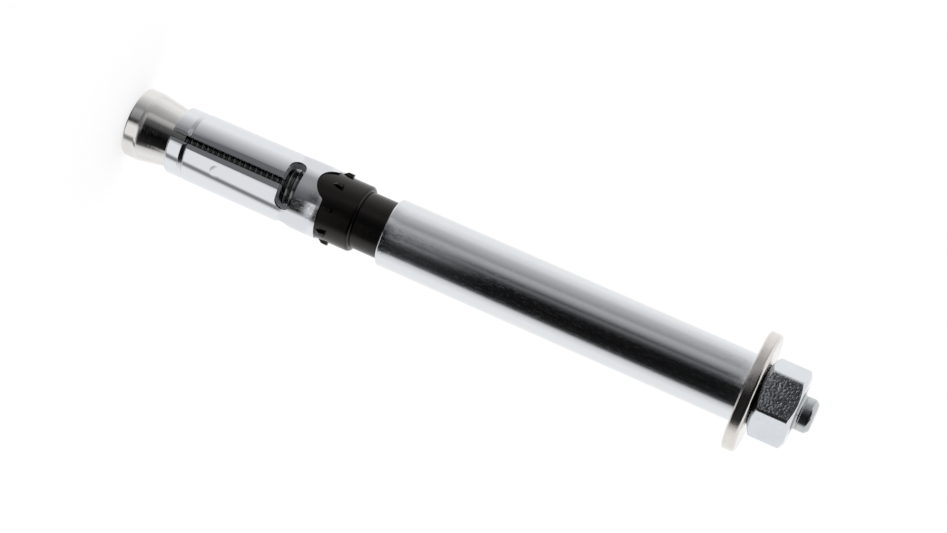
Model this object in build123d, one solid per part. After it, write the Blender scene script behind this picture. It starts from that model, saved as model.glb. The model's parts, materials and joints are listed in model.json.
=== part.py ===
from build123d import *
import os
from math import cos, degrees, radians, tan

# Heavy-duty sleeve anchor for a 24 mm hole, in millimetres. The axis is Z. The cone's end face is
# at z = 0 and the nut is at the top. Angles are polar, about Z, from +X.

# Threaded rod, drawn at its thread's outer diameter
rod_diameter = 15.9
rod_recess = 1.0
thread_pitch = 2.0
thread_end_recess = 1.5
point_neck_diameter = 11.2
point_diameter = 11.6
point_neck_length = 0.6
point_length = 4.6
point_chamfer = 1.3

# Cone, screwed on the rod's lower end
cone_diameter = 24.1
cone_length = 20.6
cone_head = 5.3
cone_half_angle = 10.0
cone_blend = 25.0
cone_rim_round = 1.0

# Expansion sleeve
seat_height = 16.0
sleeve_bore = 16.7
collar_diameter = 23.5
collar_length = 5.3
collar_round = 0.8
groove_depth = 0.4
groove_fall = 1.35
groove_rise = 0.3
finger_diameter = 23.8
root_diameter = 24.2
finger_length = 41.3
root_band = 9.5

# Slots that part the expansion sleeve into fingers
finger_count = 3
slot_angle = -95.0
slot_width = 2.4
slot_bevel_width = 1.35
slot_bevel_depth = 1.0
cross_slot_width = 5.8
cross_slot_half_angle = 44.0

# Tongues of the crush sleeve and their recesses in the expansion sleeve
tongue_angle = -126.0
tongue_radius = 6.5
tongue_depth = 4.5
tongue_root_round = 1.1

# Crush sleeve of black plastic
crush_diameter = 23.1
crush_bore = 16.6
crush_length = 12.2
crush_shoulder_round = 1.2
neck_diameter = 19.9
neck_shown = 10.1
neck_socket_depth = 5.0

# Barbs that hold the anchor from turning in the hole
barb_count = 8
barb_angle = -127.5
barb_start = 0.4
barb_length = 3.7
barb_root = 0.5
barb_ramp = 1.6
barb_width = 1.5
barb_height = 1.1
barb_point_width = 0.3

# Distance sleeve
distance_diameter = 23.4
distance_bore = 17.0
distance_length = 127.6
distance_end_chamfer = 0.5

# Washer
washer_diameter = 40.6
washer_bore = 17.4
washer_thickness = 4.4
washer_round = 0.9
washer_bore_chamfer = 0.4

# Hexagon nut
nut_flats = 24.0
nut_height = 13.5
nut_angle = -100.0
nut_face_diameter = 22.8
nut_seat_diameter = 20.6
nut_chamfer_angle = 30.0
nut_countersink = 0.7

# Fits
thread_clearance = 0.05
seat_clearance = 0.1
tongue_clearance = 0.1
neck_clearance = 0.1

# Heights worked out from the stack of pieces
finger_top = seat_height + finger_length
root_height = finger_top + cross_slot_width + root_band
shoulder_height = root_height + crush_length
distance_height = shoulder_height + neck_shown
washer_height = distance_height + distance_length
nut_bottom = washer_height + washer_thickness
nut_top = nut_bottom + nut_height
thread_end = nut_top - thread_end_recess

cone_slope = tan(radians(cone_half_angle))


def turned(*points):
    """A solid turned about Z from its half section, given as radius and height."""
    return revolve(Plane.XZ * make_face(Polyline(*points, close=True)), Axis.Z)


def rings(solid, diameter, height):
    """The round edges of a solid that have this diameter and height."""
    return [
        edge
        for edge in solid.edges().filter_by(GeomType.CIRCLE)
        if abs(edge.arc_center.Z - height) < 1e-4 and abs(edge.radius - diameter / 2) < 1e-4
    ]


def around(solid, count, first_angle):
    """Copies of a solid made at angle 0, evenly spaced about Z."""
    return [Rot(0, 0, first_angle + 360 / count * index) * solid for index in range(count)]


def cone_radius(height):
    """Radius of the cone's taper at a height above its end face."""
    return cone_diameter / 2 - (height - cone_head) * cone_slope


def make_threaded_rod():
    """The stud, with a pilot point past its last thread."""
    outer = rod_diameter / 2
    neck = point_neck_diameter / 2
    point = point_diameter / 2
    neck_bottom = thread_end + outer - neck
    point_bottom = neck_bottom + point_neck_length
    point_top = neck_bottom + point_length
    return turned(
        (0, rod_recess),
        (outer - thread_pitch / 2, rod_recess),
        (outer, rod_recess + thread_pitch / 2),
        (outer, thread_end),
        (neck, neck_bottom),
        (point, point_bottom),
        (point, point_top - point_chamfer),
        (point - point_chamfer, point_top),
        (0, point_top),
    )


def make_cone():
    """The cone that spreads the fingers, bored through for the rod."""
    bore = rod_diameter / 2 + thread_clearance
    head = cone_diameter / 2
    body = turned(
        (bore, 0),
        (head, 0),
        (head, cone_head),
        (cone_radius(cone_length), cone_length),
        (bore, cone_length),
    )
    body = fillet(rings(body, cone_diameter, cone_head), cone_blend)
    return fillet(rings(body, cone_diameter, 0), cone_rim_round)


def tongue_prism(gap):
    """The space of the crush sleeve from its lower edge up, with its two tongues, grown by a gap."""
    body_width = 2 * root_diameter
    body_height = shoulder_height - root_height
    body = Pos(0, body_height / 2) * Rectangle(body_width, body_height)
    tongue = Pos(0, tongue_radius - tongue_depth) * Circle(tongue_radius + gap)
    outline = body + tongue
    roots = outline.vertices().filter_by(lambda point: abs(point.Y) < 1e-4 and abs(point.X) < body_width / 4)
    outline = fillet(roots, tongue_root_round - gap)
    prism = extrude(Plane.XZ * outline, amount=root_diameter, both=True)
    return Pos(0, 0, root_height) * Rot(0, 0, tongue_angle + 90) * prism


def make_slot_tools():
    """The cuts that part the fingers: a bevelled slot, and a cross slot with round ends above it."""
    outer = root_diameter / 2
    reach = 2 * outer
    cross_middle = finger_top + cross_slot_width / 2
    slot_length = cross_middle - seat_height + collar_length
    slot = Box(reach, slot_width, slot_length, align=(Align.MIN, Align.CENTER, Align.MAX))
    slot = Pos(0, 0, cross_middle) * slot

    bevel_bottom = outer - slot_bevel_depth
    bevel_slope = slot_bevel_width / slot_bevel_depth
    bevel_top = outer + slot_bevel_depth
    bevel_half = slot_width / 2 + (bevel_top - bevel_bottom) * bevel_slope
    bevel = make_face(
        Polyline(
            (bevel_bottom, -slot_width / 2),
            (bevel_top, -bevel_half),
            (bevel_top, bevel_half),
            (bevel_bottom, slot_width / 2),
            close=True,
        )
    )
    bevel = Pos(0, 0, cross_middle) * extrude(bevel, amount=-slot_length)

    end_angle = cross_slot_half_angle - degrees(cross_slot_width / 2 / outer)
    half_section = Pos(outer, cross_middle) * Rectangle(reach / 2, cross_slot_width)
    cross = revolve(Plane.XZ * half_section, Axis.Z, 2 * end_angle)
    cross = Rot(0, 0, -end_angle) * cross
    round_end = Pos(outer, 0, cross_middle) * Rot(0, 90, 0) * Cylinder(cross_slot_width / 2, reach / 2)
    tools = [slot, bevel, cross]
    for angle in (-end_angle, end_angle):
        tools.append(Rot(0, 0, angle) * round_end)
    return tools


def make_expansion_sleeve():
    """The slotted sleeve whose fingers the cone spreads."""
    bore = sleeve_bore / 2
    mouth = cone_radius(seat_height) + seat_clearance
    taper_length = (mouth - bore) / cone_slope
    collar = collar_diameter / 2
    collar_top = seat_height + collar_length
    groove_bottom = collar_top + groove_fall
    body = turned(
        (mouth, seat_height),
        (collar, seat_height),
        (collar, collar_top),
        (collar - groove_depth, groove_bottom),
        (finger_diameter / 2, groove_bottom + groove_rise),
        (root_diameter / 2, root_height),
        (bore, root_height),
        (bore, seat_height + taper_length),
    )
    body = fillet(rings(body, collar_diameter, seat_height), collar_round)
    for tool in make_slot_tools():
        for copy in around(tool, finger_count, slot_angle):
            body -= copy
    return body - tongue_prism(tongue_clearance)


def make_barb():
    """One barb at angle 0, pointed below, sloped on top of its point and square behind."""
    surface = crush_diameter / 2
    foot = surface - barb_root
    crest = surface + barb_height
    bottom = root_height + barb_start
    top = bottom + barb_length
    side = make_face(
        Polyline(
            (foot, bottom),
            (surface, bottom),
            (crest, bottom + barb_ramp),
            (crest, top),
            (foot, top),
            close=True,
        )
    )
    plan = make_face(
        Polyline(
            (-barb_point_width / 2, bottom),
            (barb_point_width / 2, bottom),
            (barb_width / 2, top),
            (-barb_width / 2, top),
            close=True,
        )
    )
    across = extrude(Plane.XZ * side, amount=barb_width, both=True)
    outward = extrude(Plane.YZ * plan, amount=2 * crest)
    return across & outward


def make_crush_sleeve():
    """The plastic sleeve between the metal ones, with tongues, barbs and a neck."""
    bore = crush_bore / 2
    neck = neck_diameter / 2
    body = turned(
        (bore, root_height - tongue_depth),
        (crush_diameter / 2, root_height - tongue_depth),
        (crush_diameter / 2, shoulder_height),
        (bore, shoulder_height),
    )
    body = body & tongue_prism(0)
    body = fillet(rings(body, crush_diameter, shoulder_height), crush_shoulder_round)
    for barb in around(make_barb(), barb_count, barb_angle):
        body += barb
    spigot = turned(
        (bore, shoulder_height),
        (neck, shoulder_height),
        (neck, distance_height + neck_socket_depth),
        (bore, distance_height + neck_socket_depth),
    )
    return body + spigot


def make_distance_sleeve():
    """The tube between the plastic sleeve and the washer, bored wider below for the neck."""
    outer = distance_diameter / 2
    bore = distance_bore / 2
    socket = neck_diameter / 2 + neck_clearance
    socket_top = distance_height + neck_socket_depth + neck_clearance
    chamfer_size = distance_end_chamfer
    return turned(
        (socket, distance_height),
        (outer - chamfer_size, distance_height),
        (outer, distance_height + chamfer_size),
        (outer, washer_height - chamfer_size),
        (outer - chamfer_size, washer_height),
        (bore, washer_height),
        (bore, socket_top),
        (socket, socket_top),
    )


def make_washer():
    """The thick flat washer."""
    body = turned(
        (washer_bore / 2, washer_height),
        (washer_diameter / 2, washer_height),
        (washer_diameter / 2, nut_bottom),
        (washer_bore / 2, nut_bottom),
    )
    rims = rings(body, washer_diameter, washer_height) + rings(body, washer_diameter, nut_bottom)
    body = fillet(rims, washer_round)
    mouths = rings(body, washer_bore, washer_height) + rings(body, washer_bore, nut_bottom)
    return chamfer(mouths, washer_bore_chamfer)


def make_hex_nut():
    """The hexagon nut, chamfered at both faces and at both mouths of its bore."""
    corner = nut_flats / 2 / cos(radians(30))
    face = nut_face_diameter / 2
    seat = nut_seat_diameter / 2
    slope = tan(radians(nut_chamfer_angle))
    hexagon = RegularPolygon(nut_flats / 2, 6, major_radius=False, rotation=30)
    prism = extrude(Pos(0, 0, nut_bottom) * Rot(0, 0, nut_angle) * hexagon, amount=nut_height)
    envelope = turned(
        (0, nut_bottom),
        (seat, nut_bottom),
        (corner, nut_bottom + (corner - seat) * slope),
        (corner, nut_top - (corner - face) * slope),
        (face, nut_top),
        (0, nut_top),
    )
    bore = rod_diameter / 2 + thread_clearance
    mouth = bore + nut_countersink
    hole = turned(
        (0, nut_bottom),
        (mouth, nut_bottom),
        (bore, nut_bottom + nut_countersink),
        (bore, nut_top - nut_countersink),
        (mouth, nut_top),
        (0, nut_top),
    )
    return (prism & envelope) - hole


pieces = {
    "threaded_rod": make_threaded_rod(),
    "cone": make_cone(),
    "expansion_sleeve": make_expansion_sleeve(),
    "crush_sleeve": make_crush_sleeve(),
    "distance_sleeve": make_distance_sleeve(),
    "washer": make_washer(),
    "hex_nut": make_hex_nut(),
}

os.makedirs("parts", exist_ok=True)
for name, piece in pieces.items():
    export_step(piece, f"parts/{name}.step")
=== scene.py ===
import bpy
import json
from math import atan2, cos, degrees, pi, radians, sin, sqrt
from mathutils import Matrix, Vector

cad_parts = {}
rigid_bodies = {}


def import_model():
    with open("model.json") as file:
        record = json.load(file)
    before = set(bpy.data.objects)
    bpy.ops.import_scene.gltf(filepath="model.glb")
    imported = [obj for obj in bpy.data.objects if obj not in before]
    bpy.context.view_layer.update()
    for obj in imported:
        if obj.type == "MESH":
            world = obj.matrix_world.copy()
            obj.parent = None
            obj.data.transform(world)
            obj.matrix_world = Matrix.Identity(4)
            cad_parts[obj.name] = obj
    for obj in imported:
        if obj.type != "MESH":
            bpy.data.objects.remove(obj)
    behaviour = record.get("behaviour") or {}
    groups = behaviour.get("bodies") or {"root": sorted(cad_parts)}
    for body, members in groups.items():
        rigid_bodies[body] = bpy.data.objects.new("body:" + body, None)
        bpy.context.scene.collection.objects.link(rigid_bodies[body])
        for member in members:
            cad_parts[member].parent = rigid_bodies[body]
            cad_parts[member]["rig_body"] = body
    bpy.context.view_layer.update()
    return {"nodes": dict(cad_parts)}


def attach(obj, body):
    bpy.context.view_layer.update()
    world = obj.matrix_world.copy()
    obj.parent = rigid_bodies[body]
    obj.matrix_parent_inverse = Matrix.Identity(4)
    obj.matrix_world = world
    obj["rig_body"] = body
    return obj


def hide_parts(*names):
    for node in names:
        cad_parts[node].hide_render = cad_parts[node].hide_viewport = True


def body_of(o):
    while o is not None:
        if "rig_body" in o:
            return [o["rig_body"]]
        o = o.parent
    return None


# Sleeve anchor, standing on its cone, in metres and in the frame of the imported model: Z runs along
# the rod, from the cone's end face up to the nut.
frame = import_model()

# Pieces are modelled at one unit a millimetre, and brought down to metres when they are finished.
MM = 0.001
TURN_STEPS = 192

# How near two rings, or two points, count as one and the same
SAME_RING = 0.01
SAME_POINT = 0.001

# Camera, placed by its aim point on the axis
AIM_HEIGHT = 125.0 * MM
CAMERA_DISTANCE = 800 * MM
CAMERA_TILT = radians(11.0)
CAMERA_ROLL = radians(23.741)
LENS = 93.01
SENSOR = 36.0
SHIFT_X = 0.00139
SHIFT_Y = 0.00162

# Thread, the first of the sizes of the pieces, which are in millimetres and degrees
PITCH = 2.0
CREST_RADIUS = 7.95
ROOT_RADIUS = 6.77
CREST_EASE = 0.08
ROOT_EASE = 0.1
THREAD_STEPS = 48

# Rod: a full thread between two chamfers, and a pilot point past it
ROD_FOOT = 1.0
ROD_TOP = 245.85
BLANK_RADIUS = 8.2
FOOT_CHAMFER = 1.25
THREAD_END = 241.25
END_CHAMFER = 2.6
POINT_RADIUS = 5.8
POINT_START = 241.85
POINT_CHAMFER = 1.3

# Cone
CONE_RADIUS = 12.05
CONE_TOP = 20.6
HEAD_HEIGHT = 5.3
TAPER_END_RADIUS = 9.352
CONE_BORE = 8.0
CONE_BORE_CHAMFER = 0.3

# Expansion sleeve: a collar, a groove, and three fingers that widen towards the seam with the
# crush sleeve
SLEEVE_FOOT = 16.0
MOUTH_RADIUS = 10.263
COLLAR_RADIUS = 11.75
COLLAR_TOP = 21.3
GROOVE_RADIUS = 11.35
GROOVE_HEIGHT = 22.57
FINGER_FOOT = 22.95
FINGER_RADIUS = 11.9
SEAM_HEIGHT = 72.6
SEAM_RADIUS = 12.1
SEAM_SPARE = 1.0
SLEEVE_BORE = 8.35
SEAT_TOP = 26.85

# Slots between the fingers: a long slot with a flat on each edge, and a cross slot at its end
SLOT_ANGLES = (-95, 25, 145)
SLOT_START = 10.6
SLOT_WIDTH = 2.4
FLAT_WIDTH = 7.8
FLAT_RADIUS = 11.5
FLAT_RISE = 0.18
CROSS_MIDDLE = 60.2
CROSS_WIDTH = 5.8
CROSS_REACH = 30.27
CROSS_END_STEPS = 48
CUTTER_INSIDE = 5.0
CUTTER_OUTSIDE = 20.0
CROSS_CUTTER_MIDDLE = 12.0
CROSS_CUTTER_DEPTH = 12.0

# Tongues of the crush sleeve, and the block that has their outline
TONGUE_ANGLE = -126
TONGUE_RADIUS = 6.5
TONGUE_DEPTH = 4.5
TONGUE_CORNER = 1.1
TONGUE_GAP = 0.1
BLOCK_REACH = 24.0
BLOCK_TOP = 101.0

# Barbs of the crush sleeve, each growing from its point to a shoulder and on to its top
BARB_COUNT = 8
BARB_ANGLE = -127.5
BARB_ROOT_RADIUS = 11.05
BARB_FOOT = 73.0
BARB_POINT_DEPTH = 0.5
BARB_POINT_WIDTH = 0.3
BARB_SHOULDER_RISE = 1.6
BARB_DEEPENING = 3.2
BARB_WIDENING = 2.73
BARB_TOP_RISE = 2.1
BARB_TOP_WIDENING = 1.83

# Crush sleeve
CRUSH_FOOT = 67.5
CRUSH_RADIUS = 11.55
CRUSH_BORE = 8.3
SHOULDER_HEIGHT = 84.8
SHOULDER_ROUND = 1.2
NECK_RADIUS = 9.95
NECK_TOP = 99.9

# Distance sleeve, with a socket for the crush sleeve's neck, up to the washer
TUBE_FOOT = 94.9
TUBE_RADIUS = 11.7
TUBE_BORE = 8.5
TUBE_CHAMFER = 0.5
TUBE_SOFTNESS = 0.12
SOCKET_RADIUS = 10.05
SOCKET_TOP = 100.0

# Washer
WASHER_FOOT = 222.5
WASHER_TOP = 226.9
WASHER_RADIUS = 20.3
WASHER_BORE = 8.7
WASHER_BORE_CHAMFER = 0.4
WASHER_FOOT_ROUND = 0.7
WASHER_TOP_ROUND = 1.3

# Nut, on the washer
NUT_TOP = 240.4
NUT_CORNER_RADIUS = 13.856
NUT_TURN = 20
HEXAGON_LENGTH = 20.0
NUT_BLANK_RADIUS = 15.0
NUT_FOOT_FACE = 10.3
NUT_FOOT_CHAMFER_TOP = 229.614
NUT_TOP_FACE = 11.4
NUT_TOP_CHAMFER_FOOT = 238.322
NUT_CORNER_ROUND = 0.8
NUT_SOFTNESS = 0.25
NUT_MOUTH_RADIUS = 8.7
NUT_MOUTH_CHAMFER = 2.1
NUT_MOUTH_SPARE = 0.5
NUT_THREAD_GAP = 0.06

# Studio, in metres: the tent, the cloths inside it and the floor
TENT_RADIUS = 0.65
TENT_FOOT = -0.6
TENT_SHOULDER = 0.45
TENT_TOP = 3.5
CLOTH_RADIUS = 0.6
CLOTH_STEPS = 96
HEAD_CLOTH_TOP = -0.192
FINGER_CLOTH_TOP = -0.109
ROOT_CLOTH_TOP = -0.0905
FAN_LIMIT = 0.2
COOLNESS = 0.04
FLOOR_RADIUS = 0.22
FLOOR_DROP = 0.02 * MM
FLOOR_COLOUR = (0.5, 0.5, 0.5, 1)
FLOOR_GLOW = 0.72
SURROUND_LEVEL = 0.8


def deselect_all():
    bpy.ops.object.select_all(action="DESELECT")


def activate(piece):
    deselect_all()
    piece.select_set(True)
    bpy.context.view_layer.objects.active = piece


def extrude_by(move):
    """Extrudes what is selected, and moves the new end."""
    bpy.ops.mesh.extrude_region_move(TRANSFORM_OT_translate={"value": move})


def scale_by(shares, centre=(0, 0, 0)):
    """Scales what is selected by its shares along X, Y and Z."""
    bpy.ops.transform.resize(value=shares, center_override=centre)


def turn_about(axis, angle):
    """Turns what is selected about an axis of the model, in degrees. With no window the operator
    turns the other way, so it is given the opposite angle."""
    bpy.ops.transform.rotate(value=-radians(angle), orient_axis=axis, center_override=(0, 0, 0))


def new_circle(name, radius, height, steps):
    """A ring of edges to pull a turned piece from, left in edit mode with all of it selected."""
    deselect_all()
    bpy.ops.mesh.primitive_circle_add(vertices=steps, radius=radius, location=(0, 0, 0))
    piece = bpy.context.object
    piece.name = name
    bpy.ops.object.mode_set(mode="EDIT")
    bpy.ops.transform.translate(value=(0, 0, height))
    return piece


def new_plane(name):
    """A unit plane to pull a piece from, left in edit mode with all of it selected."""
    deselect_all()
    bpy.ops.mesh.primitive_plane_add(size=1, location=(0, 0, 0))
    piece = bpy.context.object
    piece.name = name
    bpy.ops.object.mode_set(mode="EDIT")
    return piece


def draw_outline(name, places):
    """A line of edges from place to place, left in edit mode with its end selected."""
    piece = new_plane(name)
    bpy.ops.mesh.select_mode(type="VERT")
    bpy.ops.mesh.select_all(action="SELECT")
    bpy.ops.mesh.merge(type="CENTER")
    bpy.ops.transform.translate(value=places[0])
    for last, place in zip(places, places[1:]):
        step = [there - here for here, there in zip(last, place)]
        extrude_by(step)
    return piece


def pull_rings(rings):
    """Extrudes the selected ring through a list of (radius, height), the first being its own."""
    for (last_radius, last_height), (radius, height) in zip(rings, rings[1:]):
        extrude_by((0, 0, height - last_height))
        share = radius / last_radius
        scale_by((share, share, 1), centre=(0, 0, height))


def close_section():
    """Bridges the first and last ring, for a piece with a bore."""
    bpy.ops.mesh.select_all(action="DESELECT")
    bpy.ops.mesh.select_mode(type="EDGE")
    bpy.ops.mesh.select_non_manifold()
    bpy.ops.mesh.bridge_edge_loops()


def cap_ends():
    """Fills the first and last ring, for a solid piece."""
    bpy.ops.mesh.select_all(action="DESELECT")
    bpy.ops.mesh.select_mode(type="EDGE")
    bpy.ops.mesh.select_non_manifold()
    bpy.ops.mesh.edge_face_add()


def face_outwards():
    """Merges the points that coincide, and turns all faces outwards."""
    bpy.ops.mesh.select_mode(type="VERT")
    bpy.ops.mesh.select_all(action="SELECT")
    bpy.ops.mesh.remove_doubles(threshold=SAME_POINT)
    bpy.ops.mesh.normals_make_consistent(inside=False)


def turned(name, rings, bored=True, steps=TURN_STEPS):
    """A turned piece from its half section in millimetres, left in object mode."""
    piece = new_circle(name, *rings[0], steps)
    pull_rings(rings)
    if bored:
        close_section()
    else:
        cap_ends()
    face_outwards()
    bpy.ops.object.mode_set(mode="OBJECT")
    return piece


def round_ring(piece, radius, height, size, segments):
    """Bevels one ring of edges of a turned piece, all in millimetres."""
    activate(piece)
    bpy.ops.object.mode_set(mode="EDIT")
    bpy.ops.mesh.select_mode(type="VERT")
    bpy.ops.mesh.select_all(action="DESELECT")
    bpy.ops.object.mode_set(mode="OBJECT")
    for vertex in piece.data.vertices:
        spot = vertex.co
        apart = abs(spot.xy.length - radius) + abs(spot.z - height)
        vertex.select = apart < SAME_RING
    bpy.ops.object.mode_set(mode="EDIT")
    bpy.ops.mesh.select_mode(type="EDGE")
    bpy.ops.mesh.bevel(offset=size, segments=segments, affect="EDGES")
    bpy.ops.object.mode_set(mode="OBJECT")


def finish_piece(piece, node, material, sharp=32):
    """Smooths a piece, gives it its finish and puts it in its node's place."""
    activate(piece)
    bpy.ops.object.mode_set(mode="EDIT")
    bpy.ops.mesh.select_all(action="SELECT")
    scale_by((MM, MM, MM))
    bpy.ops.object.mode_set(mode="OBJECT")
    bpy.ops.object.shade_smooth_by_angle(angle=radians(sharp))
    weights = piece.modifiers.new("Even shading", "WEIGHTED_NORMAL")
    weights.keep_sharp = True
    bpy.ops.object.modifier_apply(modifier=weights.name)
    piece.data.materials.clear()
    piece.data.materials.append(material)
    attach(piece, body_of(frame["nodes"][node])[0])
    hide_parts(node)


def boolean(piece, tool, operation):
    """Cuts a piece with another or joins the two, and uses the other up."""
    activate(piece)
    cut = piece.modifiers.new("Cut", "BOOLEAN")
    cut.operation = operation
    cut.solver = "EXACT"
    cut.object = tool
    bpy.ops.object.modifier_apply(modifier=cut.name)
    bpy.data.objects.remove(tool)


def soften(piece, width, segments=2, angle=35):
    """Takes the sharpness off the edges that turn by more than an angle."""
    activate(piece)
    edge = piece.modifiers.new("Soft edges", "BEVEL")
    edge.limit_method = "ANGLE"
    edge.angle_limit = radians(angle)
    edge.width = width
    edge.segments = segments
    bpy.ops.object.modifier_apply(modifier=edge.name)


def copy_of(piece, angle):
    """A copy with its own mesh, turned about Z."""
    twin = piece.copy()
    twin.data = piece.data.copy()
    bpy.context.scene.collection.objects.link(twin)
    activate(twin)
    bpy.ops.object.mode_set(mode="EDIT")
    bpy.ops.mesh.select_all(action="SELECT")
    turn_about("Z", angle)
    bpy.ops.object.mode_set(mode="OBJECT")
    return twin


def joined(pieces):
    """One mesh from several that don't meet."""
    activate(pieces[0])
    for piece in pieces:
        piece.select_set(True)
    bpy.ops.object.join()
    return pieces[0]


def make_thread_core(name, bottom, turns, gap=0.0):
    """A closed right-hand thread, from a profile of one pitch carried round by a screw. Each point
    of the profile is a radius and a part of the pitch."""
    root = ROOT_RADIUS + gap
    crest = CREST_RADIUS + gap
    profile = [
        (root, 0.0),
        (root, 0.12),
        (root + ROOT_EASE, 0.19),
        (crest - CREST_EASE, 0.49),
        (crest, 0.54),
        (crest, 0.58),
        (crest - CREST_EASE, 0.63),
        (root + ROOT_EASE, 0.93),
        (root, 1.0),
    ]
    core = draw_outline(name, [(radius, 0, bottom + part * PITCH) for radius, part in profile])
    bpy.ops.object.mode_set(mode="OBJECT")
    screw = core.modifiers.new("Thread", "SCREW")
    screw.screw_offset = PITCH
    screw.iterations = turns
    screw.steps = THREAD_STEPS
    screw.render_steps = THREAD_STEPS
    bpy.ops.object.modifier_apply(modifier=screw.name)
    bpy.ops.object.mode_set(mode="EDIT")
    face_outwards()
    bpy.ops.object.mode_set(mode="OBJECT")
    for end in (min, max):
        close_thread_end(core, end)
    bpy.ops.object.mode_set(mode="EDIT")
    face_outwards()
    bpy.ops.object.mode_set(mode="OBJECT")
    return core


def close_thread_end(core, end):
    """Draws the open edge at one end of the thread together on the axis."""
    activate(core)
    level = end(vertex.co.z for vertex in core.data.vertices)
    bpy.ops.object.mode_set(mode="EDIT")
    bpy.ops.mesh.select_mode(type="EDGE")
    bpy.ops.mesh.select_all(action="DESELECT")
    bpy.ops.mesh.select_non_manifold()
    bpy.ops.object.mode_set(mode="OBJECT")
    vertices = core.data.vertices
    open_edges = [edge for edge in core.data.edges if edge.select]
    for vertex in vertices:
        vertex.select = False
    for edge in open_edges:
        near = all(abs(vertices[index].co.z - level) < 1.5 * PITCH for index in edge.vertices)
        edge.select = near
        for index in edge.vertices:
            vertices[index].select = vertices[index].select or near
    bpy.ops.object.mode_set(mode="EDIT")
    extrude_by((0, 0, 0))
    bpy.ops.mesh.merge(type="CENTER")
    bpy.ops.object.mode_set(mode="OBJECT")


def make_threaded_rod(material):
    """The stud: a thread cut to the rod's outline, with its pilot point."""
    thread_end = (BLANK_RADIUS - END_CHAMFER, THREAD_END)
    point_start = (POINT_RADIUS, POINT_START)
    point_shoulder = (POINT_RADIUS, ROD_TOP - POINT_CHAMFER)
    point_face = (POINT_RADIUS - POINT_CHAMFER, ROD_TOP)
    outline = [
        (BLANK_RADIUS - FOOT_CHAMFER, ROD_FOOT),
        (BLANK_RADIUS, ROD_FOOT + FOOT_CHAMFER),
        (BLANK_RADIUS, THREAD_END - END_CHAMFER),
        thread_end,
        point_start,
        point_shoulder,
        point_face,
    ]
    rod = turned("rod", outline, bored=False, steps=96)
    round_ring(rod, *thread_end, size=0.3, segments=3)
    round_ring(rod, *point_start, size=0.2, segments=3)
    round_ring(rod, *point_shoulder, size=0.5, segments=3)
    round_ring(rod, *point_face, size=0.3, segments=3)
    core = make_thread_core("thread_core", bottom=-2, turns=126)
    boolean(rod, core, "INTERSECT")
    finish_piece(rod, "threaded_rod", material, sharp=40)


def make_cone(material):
    """The turned cone, with a rounded rim and a soft run into its taper."""
    rim = (CONE_RADIUS, 0)
    head_end = (CONE_RADIUS, HEAD_HEIGHT)
    taper_end = (TAPER_END_RADIUS, CONE_TOP)
    outline = [
        (CONE_BORE + CONE_BORE_CHAMFER, 0),
        rim,
        head_end,
        taper_end,
        (CONE_BORE + CONE_BORE_CHAMFER, CONE_TOP),
        (CONE_BORE, CONE_TOP - CONE_BORE_CHAMFER),
        (CONE_BORE, CONE_BORE_CHAMFER),
    ]
    cone = turned("cone_body", outline)
    round_ring(cone, *rim, size=1.0, segments=8)
    round_ring(cone, *head_end, size=1.0, segments=8)
    round_ring(cone, *taper_end, size=0.2, segments=3)
    finish_piece(cone, "cone", material)


def make_slot_cutter():
    """What parts two fingers: a long slot that opens into a flat on each of its edges."""
    height = CROSS_MIDDLE - SLOT_START
    slot = new_plane("slot_cutter")
    scale_by((height, SLOT_WIDTH, 1))
    turn_about("Y", 90)
    bpy.ops.transform.translate(value=(CUTTER_INSIDE, 0, CROSS_MIDDLE - height / 2))
    inner_depth = FLAT_RADIUS - CUTTER_INSIDE
    outer_depth = CUTTER_OUTSIDE - FLAT_RADIUS - FLAT_RISE
    for depth, share in ((inner_depth, 1), (FLAT_RISE, FLAT_WIDTH / SLOT_WIDTH), (outer_depth, 1)):
        extrude_by((depth, 0, 0))
        scale_by((1, share, 1))
    face_outwards()
    bpy.ops.object.mode_set(mode="OBJECT")
    return slot


def make_cross_cutter():
    """The cross slot between its two ends, spun round the axis."""
    cross = new_plane("cross_cutter")
    scale_by((CROSS_CUTTER_DEPTH, CROSS_WIDTH, 1))
    turn_about("X", 90)
    bpy.ops.transform.translate(value=(CROSS_CUTTER_MIDDLE, 0, CROSS_MIDDLE))
    turn_about("Z", CROSS_REACH)
    bpy.ops.mesh.spin(steps=32, angle=radians(2 * CROSS_REACH), center=(0, 0, 0), axis=(0, 0, 1))
    face_outwards()
    bpy.ops.object.mode_set(mode="OBJECT")
    return cross


def make_cross_ends():
    """The round ends of the cross slot, as two cylinders that point at the axis."""
    ends = []
    for angle in (-CROSS_REACH, CROSS_REACH):
        deselect_all()
        bpy.ops.mesh.primitive_cylinder_add(
            vertices=CROSS_END_STEPS,
            radius=CROSS_WIDTH / 2,
            depth=CROSS_CUTTER_DEPTH,
            location=(0, 0, 0),
        )
        end = bpy.context.object
        bpy.ops.object.mode_set(mode="EDIT")
        half_step = 180 / CROSS_END_STEPS
        turn_about("Z", -half_step)
        turn_about("Y", 90)
        bpy.ops.transform.translate(value=(CROSS_CUTTER_MIDDLE, 0, CROSS_MIDDLE))
        turn_about("Z", angle)
        bpy.ops.object.mode_set(mode="OBJECT")
        ends.append(end)
    return joined(ends)


def arc(x, z, radius, start, end, steps):
    """Points on an arc, by its centre, radius and two angles in degrees."""
    points = []
    for step in range(steps + 1):
        angle = radians(start + (end - start) * step / steps)
        points.append((x + radius * cos(angle), z + radius * sin(angle)))
    return points


def drawn_block(name, outline, low, high):
    """A block with an outline drawn point by point in X and Z, pulled along Y."""
    piece = draw_outline(name, [(x, low, z) for x, z in outline])
    bpy.ops.mesh.select_all(action="SELECT")
    bpy.ops.mesh.edge_face_add()
    extrude_by((0, high - low, 0))
    face_outwards()
    bpy.ops.object.mode_set(mode="OBJECT")
    return piece


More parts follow.
